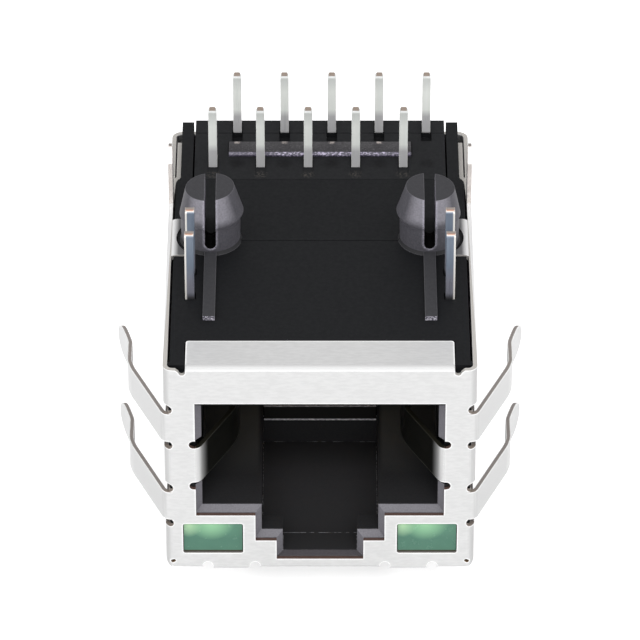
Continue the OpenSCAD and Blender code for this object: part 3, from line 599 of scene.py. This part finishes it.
def housing_face(at, normal):
    x, y, z = place_of(at)
    if z > board_face:
        return post_or_rib_face(x, y, z, normal)
    if y < rim_back and x < rim_aside and z < mouth_top:
        if not 0.3 < abs(normal.y) < 0.95:
            return mouth_black
        low = normal.z > 0.3 and z < low_step_top and x < low_step_aside
        return low_chamfer if low else chamfer_black
    if x > mouth_aside or z > mouth_top or y > half_length:
        return housing_black
    return floor_black if normal.z > 0.9 and z < floor_top and x < floor_aside else mouth_black


dressed("front_housing",
        [housing_black, low_chamfer, mouth_black, chamfer_black, post_black, end_black, rib_black, rib_tip,
         slit_shade_black, floor_black, slit_black], housing_face)


# Lamps
# Two green-tinted cast lamps in the plate's windows. Each lens is paler towards its top, with a paler patch
# in the top left corner and a broad one at the top middle, and dark along its foot.
def lens_finish(name, middle_x):
    made = new_material(name, (0.1, 0.28, 0.18), 0.2)
    shader(made).inputs["Coat Weight"].default_value = 0.25
    middle_z = 0.00388
    upper_half = (0.0038, 0.0048)
    dark_foot_top = (0.003, 0.00306)
    across = axis(made, "X")
    up = axis(made, "Z")

    def patch(x, z, wide, high):
        dx = maths(made, "DIVIDE", maths(made, "SUBTRACT", across, middle_x + x), wide)
        dz = maths(made, "DIVIDE", maths(made, "SUBTRACT", up, middle_z + z), high)
        return fall(made, length_of(made, dx, dz), (0.1, 1.0))

    base = tint(made, grain(made, 1500, 2), (0.05, 0.162, 0.108), (0.068, 0.195, 0.133))
    upper = tint(made, spread(made, up, 0, 0.3, upper_half), base, (0.15, 0.38, 0.23))
    corner = patch(x=-0.00125, z=0.0008, wide=0.0007, high=0.0008)
    broad = patch(x=-0.00008, z=0.0011, wide=0.00125, high=0.0013)
    warm = tint(made, corner, upper, (0.4, 0.64, 0.38))
    patched = tint(made, broad, warm, (0.33, 0.66, 0.37))
    edged = tint(made, at_most(made, edge_of(made, 0.00008), 0.55), patched, (0.06, 0.13, 0.085))
    painted(made, tint(made, fall(made, up, dark_foot_top), edged, (0.045, 0.04, 0.02)))
    roughened(made, spread(made, grain(made, 3000), 0.15, 0.3))
    bumped(made, grain(made, 2500, 2), 0.000006, 0.4, 0.00004)
    return made


lamp_x = 0.00554
for side_name, side_sign in (("left", -1), ("right", 1)):
    dressed(f"{side_name}_lamp", [lens_finish(f"{side_name}_lens", side_sign * lamp_x)])


# Lamp leads
# Square tinned steel wires that rise from the back of each lamp through channels in the housing.
# The outer edge carries a painted cream highlight, the foot painted shade where it leaves its channel, and
# the cut tip shows brown steel with a crescent of copper.
def lead_finish(name, lead_y):
    made = new_material(name, (0.3, 0.34, 0.4), 0.35, metallic=0.3)
    lead_x = 0.00672
    outer_highlight = (0.00685, 0.00689)
    foot_end = (0.01475, 0.0151)
    lit_start = (0.0157, 0.0168)
    cap_start = (0.0186, 0.01863)
    top_start = (0.01865, 0.01868)
    core_radius = (0.00021, 0.00026)
    front_half = (-0.00012, -0.00006)
    out = maths(made, "ABSOLUTE", axis(made, "X"))
    up = axis(made, "Z")
    streaks = grain(made, 4000, 3, (1, 1, 0.15))
    high = tint(made, streaks, (0.13, 0.165, 0.22), (0.24, 0.285, 0.36))
    low = tint(made, streaks, (0.2, 0.205, 0.25), (0.29, 0.29, 0.34))
    body = tint(made, rise(made, up, lit_start), low, high)
    # Painted shade on the foot and a painted cream highlight along the outer edge
    shaded_foot = tint(made, rise(made, up, foot_end), (0.05, 0.05, 0.055), body)
    edged = tint(made, rise(made, out, outer_highlight), shaded_foot, (0.95, 0.92, 0.87))
    cap = tint(made, rise(made, up, cap_start), edged, (0.6, 0.56, 0.52))
    across_tip = maths(made, "SUBTRACT", out, lead_x)
    along_tip = maths(made, "SUBTRACT", axis(made, "Y"), lead_y)
    from_middle = length_of(made, across_tip, along_tip)
    core = times(made, rise(made, up, top_start), fall(made, from_middle, core_radius))
    crescent = times(made, core, fall(made, along_tip, front_half))
    cut = tint(made, core, cap, (0.33, 0.28, 0.25))
    painted(made, tint(made, crescent, cut, (0.42, 0.2, 0.13)))
    roughened(made, spread(made, streaks, 0.25, 0.42))
    bumped(made, streaks, 0.000004, 0.5, 0.00005)
    return made


for end, lead_y in (("front", -0.00513), ("rear", -0.00298)):
    finish = lead_finish(f"{end}_lead_tin", lead_y)
    for side_name in ("left", "right"):
        dressed(f"{side_name}_{end}_lead", [finish])


# Shield
# One sheet of bright tinned steel, cut, folded round the mouldings and pressed into spring fingers and
# grounding tabs. It is brushed along the roll. Its edges and the lip's fold are painted white as
# highlights, and the plate's side folds painted darker as shade. The cuts are beige on the walls,
# grey-brown on the springs and darker round the mouth and the corner holes.
along_plate = (0.3, 1, 1)
along_wall = (1, 0.3, 1)


def brushed_sheet(name, dark, light, rough, roll):
    made = new_material(name, light, rough, metallic=0.92)
    lines = grain(made, 8500, 3, roll)
    colour = tint(made, rise(made, lines, (0.35, 0.65)), dark, light)
    frontward = facing(made, "Y")
    upward = facing(made, "Z")
    sideways = rise(made, maths(made, "ABSOLUTE", facing(made, "X")), (0.3, 0.7))
    # Painted darker shade on the side folds, and painted white highlights on the lip's fold and the edges
    side_fold = times(made, sideways, fall(made, frontward, (-0.5, -0.1)))
    folded = tint(made, side_fold, colour, tuple(0.78 * c for c in light))
    off_top = times(made, rise(made, upward, (0.2, 0.4)), fall(made, upward, (0.8, 0.96)))
    lip_fold = times(made, off_top, fall(made, frontward, (-0.3, -0.1)))
    bright = maths(made, "MAXIMUM", lip_fold, edge_of(made, 0.00015, (0.01, 0.06)))
    painted(made, tint(made, bright, folded, (1.0, 1.0, 1.0)))
    link(made, spread(made, bright, 0.92, 0, (0, 1)), shader(made).inputs["Metallic"])
    highlight_gloss = node(made, "ShaderNodeMix", B=0.2)
    link(made, bright, highlight_gloss.inputs["Factor"])
    link(made, spread(made, lines, rough - 0.05, rough + 0.08), highlight_gloss.inputs["A"])
    roughened(made, highlight_gloss.outputs["Result"])
    bumped(made, lines, 0.000002, 0.35, 0.00004)
    return made


def cut_sheet(name, low, high, rim, rim_share, rim_width=0.00005):
    made = new_material(name, high, 0.5, metallic=0.3)
    burr = grain(made, 12000, 3)
    metal = tint(made, burr, low, high)
    # The rim along a cut's edges is painted lighter as a highlight, except on the rusty cuts
    rimmed = at_most(made, edge_of(made, rim_width, (0.02, 0.1)), rim_share)
    painted(made, tint(made, rimmed, metal, rim))
    bumped(made, burr, 0.000006, 0.6, 0.00003)
    return made


# The sides of a solder tab are sheared, with coarse bright dots in a dark outline
def sheared_tab():
    made = new_material("tab_edge", (0.8, 0.75, 0.71), 0.3, metallic=0.4)
    dots = tint(made, grain(made, 2500, 2), (0.62, 0.56, 0.52), (1.0, 0.95, 0.92))
    rim = at_most(made, edge_of(made, 0.00005, (0.02, 0.1)), 0.7)
    painted(made, tint(made, rim, dots, (0.34, 0.3, 0.28)))
    bumped(made, grain(made, 8000, 3), 0.00001, 0.7)
    return made


# The blade of a grounding tab is painted near-black as a reflection of the black mouth, with a painted
# white glow at its root
def grounding_blade():
    made = new_material("tab_blade", (0.9, 0.9, 0.9), 0.3, specular=0.15)
    root_glow = (0.00575, 0.00635)
    glow_power = 1.6
    root = rise(made, maths(made, "ABSOLUTE", axis(made, "X")), root_glow)
    drawn = grain(made, 5000, 3, (0.1, 0.1, 1))
    mirrored_black = tint(made, drawn, (0.004, 0.004, 0.003), (0.009, 0.009, 0.008))
    outline = tint(made, edge_of(made, 0.00007, (0.02, 0.1)), mirrored_black, (0.1, 0.1, 0.085))
    painted(made, tint(made, maths(made, "POWER", root, glow_power), outline, (0.98, 0.98, 0.98)))
    bumped(made, drawn, 0.000001, 0.3, 0.00003)
    return made


# The lip's fold is painted bright as a highlight over its whole length, and grey further back
def fold_highlight():
    made = new_material("fold_band", (1.0, 1.0, 1.0), 0.35)
    band_back = (-0.0115, -0.01126)
    lines = grain(made, 8500, 3, along_plate)
    fine = tint(made, lines, (0.8, 0.8, 0.8), (0.86, 0.86, 0.86))
    painted(made, tint(made, rise(made, axis(made, "Y"), band_back), fine, (0.56, 0.56, 0.56)))
    bumped(made, lines, 0.000002, 0.3, 0.00004)
    return made


# The flange beside each post is bent over and painted dark grey towards its hole, as a reflection of the
# dark posts
def flange_reflecting_posts():
    made = new_material("flange", (0.8, 0.8, 0.8), 0.4, metallic=0.3)
    reflection_edge = (0.0074, 0.00768)
    lines = grain(made, 8500, 3, along_wall)
    tone = tint(made, lines, (0.8, 0.8, 0.8), (0.9, 0.9, 0.9))
    bend = rise(made, maths(made, "ABSOLUTE", axis(made, "X")), reflection_edge)
    painted(made, tint(made, bend, (0.13, 0.13, 0.135), tone))
    bumped(made, lines, 0.000002, 0.35, 0.00004)
    return made


sheet_face = brushed_sheet("sheet_face", (0.76, 0.76, 0.76), (0.82, 0.82, 0.82), 0.42, along_plate)
sheet_side = brushed_sheet("sheet_side", (0.82, 0.82, 0.82), (0.9, 0.9, 0.9), 0.4, along_wall)
spring_cut = cut_sheet("spring_cut", (0.2, 0.175, 0.16), (0.32, 0.29, 0.275), (0.98, 0.98, 0.97), 1.0,
                       rim_width=0.00009)
wall_cut = cut_sheet("wall_cut", (0.46, 0.44, 0.415), (0.58, 0.56, 0.53), (0.8, 0.78, 0.75), 0.5)
rusty_cut = cut_sheet("rusty_cut", (0.2, 0.13, 0.07), (0.4, 0.28, 0.17), (0.3, 0.25, 0.2), 0.3)
mouth_cut = cut_sheet("mouth_cut", (0.1, 0.06, 0.05), (0.2, 0.13, 0.11), (0.3, 0.2, 0.18), 0.4)
notch_cut = cut_sheet("notch_cut", (0.2, 0.165, 0.14), (0.4, 0.345, 0.305), (0.7, 0.67, 0.64), 0.5)
tab_cut = cut_sheet("tab_cut", (0.015, 0.014, 0.009), (0.03, 0.028, 0.019), (0.05, 0.048, 0.036), 0.5)
tab_edge = sheared_tab()
tab_blade = grounding_blade()
fold_band = fold_highlight()
flange = flange_reflecting_posts()

# Places on the folded sheet. The plate is as thick as the sheet, and the walls stand 8 mm aside.
plate_back = 0.24
wall_aside = 8.02
wall_inside = 7.4
flange_front = 10.0
flange_back = 13.5
flange_low = 12.2
lip_aside = 6.85
lip_low = 12.77
fold_back = 0.43
solder_tab_aside = 7.7
solder_tab_low = 12.86
grounding_tab_aside = 6.45
grounding_tab_low = 5.6
grounding_tab_high = 7.85
corner_hole_aside = 7.62
corner_hole_z = 0.5
corner_hole_wide = 0.3
corner_hole_high = 0.25
corner_hole_back = 0.4
corner_hole_top = 0.8
corner_cut_aside = 6.8
corner_cut_low = 12.3
opening_aside = 7.5
opening_top = 12.4
lamp_window_top = 2.8
lamp_window_inside = 4
wall_top_inside = 7.2
wall_top_low = 11.5
wall_window_low = 0.5
lip_start = 12.0

# The side spring fingers, and the round notches that relieve them where they start
upper_finger_z = 9.12
lower_finger_z = 4.1
finger_half = 0.88
notch_half = 0.25
notch_room = 0.04
notch_back = 0.8


def notch_face(x, y, z, flat_y):
    if y > notch_back or x < wall_inside or flat_y > 0.9:
        return False
    from_finger = min(abs(z - upper_finger_z), abs(z - lower_finger_z))
    return abs(from_finger - finger_half - notch_half) < notch_half + notch_room


def corner_hole_face(x, y, z, flat_y):
    if y > corner_hole_back or x < wall_inside or z > corner_hole_top or flat_y > 0.5:
        return False
    return abs(x - corner_hole_aside) < corner_hole_wide and abs(z - corner_hole_z) < corner_hole_high


def plate_cut(x, y, z, normal):
    if z > corner_cut_low and normal.z > 0.5 and x > corner_cut_aside:
        return wall_cut
    if z < opening_top and x < opening_aside and abs(normal.y) < 0.5:
        return mouth_cut if z > lamp_window_top or x < lamp_window_inside else spring_cut
    return None


def sheet_part(at, normal):
    x, y, z = place_of(at)
    flat_x, flat_y, flat_z = abs(normal.x), abs(normal.y), abs(normal.z)
    if x > wall_aside:
        return spring_cut if flat_z > 0.9 else sheet_side
    if flange_front < y < flange_back and z > flange_low:
        return flange if flat_y < 0.9 else wall_cut
    if notch_face(x, y, z, flat_y):
        return notch_cut
    if y < fold_back and z > lip_low and x < lip_aside and normal.z > 0.5:
        return fold_band
    if z > solder_tab_low and x > solder_tab_aside and flat_y > 0.3:
        return tab_edge
    if y > 0.1 and x < grounding_tab_aside and grounding_tab_low < z < grounding_tab_high:
        return tab_cut if flat_z > 0.9 or (y > 6 and flat_y > 0.8) else tab_blade
    if corner_hole_face(x, y, z, flat_y):
        return rusty_cut
    cut = plate_cut(x, y, z, normal) if y < plate_back else None
    if cut:
        return cut
    if y > 0.2 and x > wall_top_inside and wall_top_low < z < board_face and normal.z > 0.9:
        return wall_cut
    through_wall = flat_x < 0.5 and (flat_z > 0.95 or flat_y > 0.95)
    if y > 0.3 and x > wall_inside and z > wall_window_low and through_wall:
        return spring_cut
    return sheet_face if y < 0.3 or z > lip_start else sheet_side


shell = dressed("shield_shell",
                [sheet_face, sheet_side, spring_cut, wall_cut, rusty_cut, tab_edge, tab_blade, tab_cut,
                 mouth_cut, flange, fold_band, notch_cut], sheet_part)

# The side springs run level behind their knee, flare out over their last stretch and end round. The
# points of the straight, tapered springs are moved to that path, after cuts that let them bend.
flare = 0.6
flare_power = 1.15
root_y = 0.5
knee_y = 3.9
knee_shift = 0.5
flat_end_y = 5.0
flare_y = 6.3
cad_tip_y = 8.75
tip_y = 8.4
finger_taper = 0.36
tip_radius = finger_half - finger_taper
round_y = cad_tip_y - tip_radius
least_width = 0.03
spring_aside = 8.3
cuts_aside = 8.8
cuts_start_y = 4.5
between_fingers = 8.5
bend_lines = (5.6, 6.2, 6.6, 7.1, 7.6, 7.9, 8.2, 8.4, 8.55, 8.65)


def cut_springs(side_sign, y):
    for face in shell.data.polygons:
        on_spring = side_sign * face.center.x * 1000 > cuts_aside
        face.select = on_spring and face.center.y * 1000 + half_length > cuts_start_y
    bpy.ops.object.mode_set(mode="EDIT")
    bpy.ops.mesh.bisect(plane_co=(0, (y - half_length) / 1000, 0), plane_no=(0, 1, 0))
    bpy.ops.object.mode_set(mode="OBJECT")


def flare_shift(y):
    even = flare * max(0, y - flat_end_y) / (cad_tip_y - flat_end_y)
    late = flare * (max(0, y - flare_y) / (cad_tip_y - flare_y)) ** flare_power
    return even - min(late, even)


def tapered_half(y):
    half = finger_half - finger_taper * min(1, max(0, (y - flare_y) / (round_y - flare_y)))
    return half * math.sqrt(max(0, 1 - (max(0, y - round_y) / tip_radius) ** 2))


def leaf_half(y):
    return finger_half * math.sqrt(max(0, 1 - max(0, y - tip_y + 1) ** 2))


def moved_y(y):
    if y < flare_y:
        return y + knee_shift * min((y - root_y) / (knee_y - root_y), (flare_y - y) / (flare_y - knee_y))
    return flare_y + (y - flare_y) * (tip_y - flare_y) / (cad_tip_y - flare_y)


bpy.ops.object.select_all(action="DESELECT")
shell.select_set(True)
bpy.context.view_layer.objects.active = shell
for side_sign in (-1, 1):
    for y in bend_lines:
        cut_springs(side_sign, y)
for vertex in shell.data.vertices:
    y = vertex.co.y * 1000 + half_length
    if abs(vertex.co.x) * 1000 > spring_aside and y > root_y:
        vertex.co.x -= math.copysign(flare_shift(y) / 1000, vertex.co.x)
        vertex.co.y = (moved_y(y) - half_length) / 1000
        finger_z = upper_finger_z if vertex.co.z * 1000 > between_fingers else lower_finger_z
        middle = (finger_z + stand) / 1000
        if tapered_half(y) > least_width:
            vertex.co.z = middle + (vertex.co.z - middle) * leaf_half(moved_y(y)) / tapered_half(y)


# Rear cover
# A second folded sheet that closes the back. Its ears lap the joggled walls and spring over the
# catches.
def cover_part(at, normal):
    y, z = place_of(at)[1:]
    ear_edge = 19.1
    upper_edge = 11.7
    cut = (z > upper_edge and abs(normal.z) > 0.95) or (y < ear_edge and abs(normal.y) > 0.95)
    return wall_cut if cut else sheet_side


dressed("rear_cover", [sheet_side, wall_cut], cover_part)


# Studio
# A plain pale floor, an even white surround, a broad key lamp from the front and the camera at the
# photograph's angle. The jack lies on its top wall. The camera sees the floor lifted to white, and
# the shadow stays.
def pale_floor():
    made = new_material("pale_floor", (0.9, 0.9, 0.9), 0.9, specular=0)
    painted(made, tint(made, grain(made, 40), (0.895, 0.895, 0.895), (0.905, 0.905, 0.905)))
    seen = node(made, "ShaderNodeLightPath")
    lift = node(made, "ShaderNodeEmission", Color=(1, 1, 1, 1))
    both = node(made, "ShaderNodeAddShader")
    link(made, times(made, seen.outputs["Is Camera Ray"], 0.5), lift.inputs["Strength"])
    link(made, shader(made).outputs["BSDF"], both.inputs[0])
    link(made, lift.outputs["Emission"], both.inputs[1])
    link(made, both.outputs["Shader"], made.node_tree.nodes["Material Output"].inputs["Surface"])
    return made


bpy.ops.object.select_all(action="DESELECT")
bpy.ops.mesh.primitive_plane_add(size=3, location=(0, 0, 0))
floor = bpy.context.object
floor.name = "floor"
bpy.ops.object.transform_apply(location=True, rotation=True, scale=True)
floor.data.materials.append(pale_floor())

surround = bpy.data.worlds.new("surround")
bpy.context.scene.world = surround
surround.use_nodes = True
surround.node_tree.nodes["Background"].inputs["Color"].default_value = (1, 1, 1, 1)
surround.node_tree.nodes["Background"].inputs["Strength"].default_value = 0.76


def sun(name, strength, width, azimuth, elevation):
    bpy.ops.object.light_add(type="SUN")
    made = bpy.context.object
    made.name = name
    made.data.energy = strength
    made.data.angle = math.radians(width)
    made.rotation_euler = Euler((math.radians(90 - elevation), 0, math.radians(azimuth)))


sun("key", strength=1.3, width=50, azimuth=0, elevation=50)
sun("left_fill", strength=0.25, width=40, azimuth=-70, elevation=40)
sun("right_fill", strength=0.25, width=40, azimuth=70, elevation=40)

bpy.ops.object.camera_add()
camera = bpy.context.object
camera.data.sensor_width = 36
camera.data.lens = 308.5
camera.data.clip_start = 0.02
camera.data.clip_end = 10
forward = Vector((0, 0.81106, -0.58496))
camera.rotation_euler = forward.to_track_quat("-Z", "Y").to_euler()
camera.location = (0, -0.2356, 0.1794)
bpy.context.scene.camera = camera
bpy.context.scene.view_settings.view_transform = "Standard"
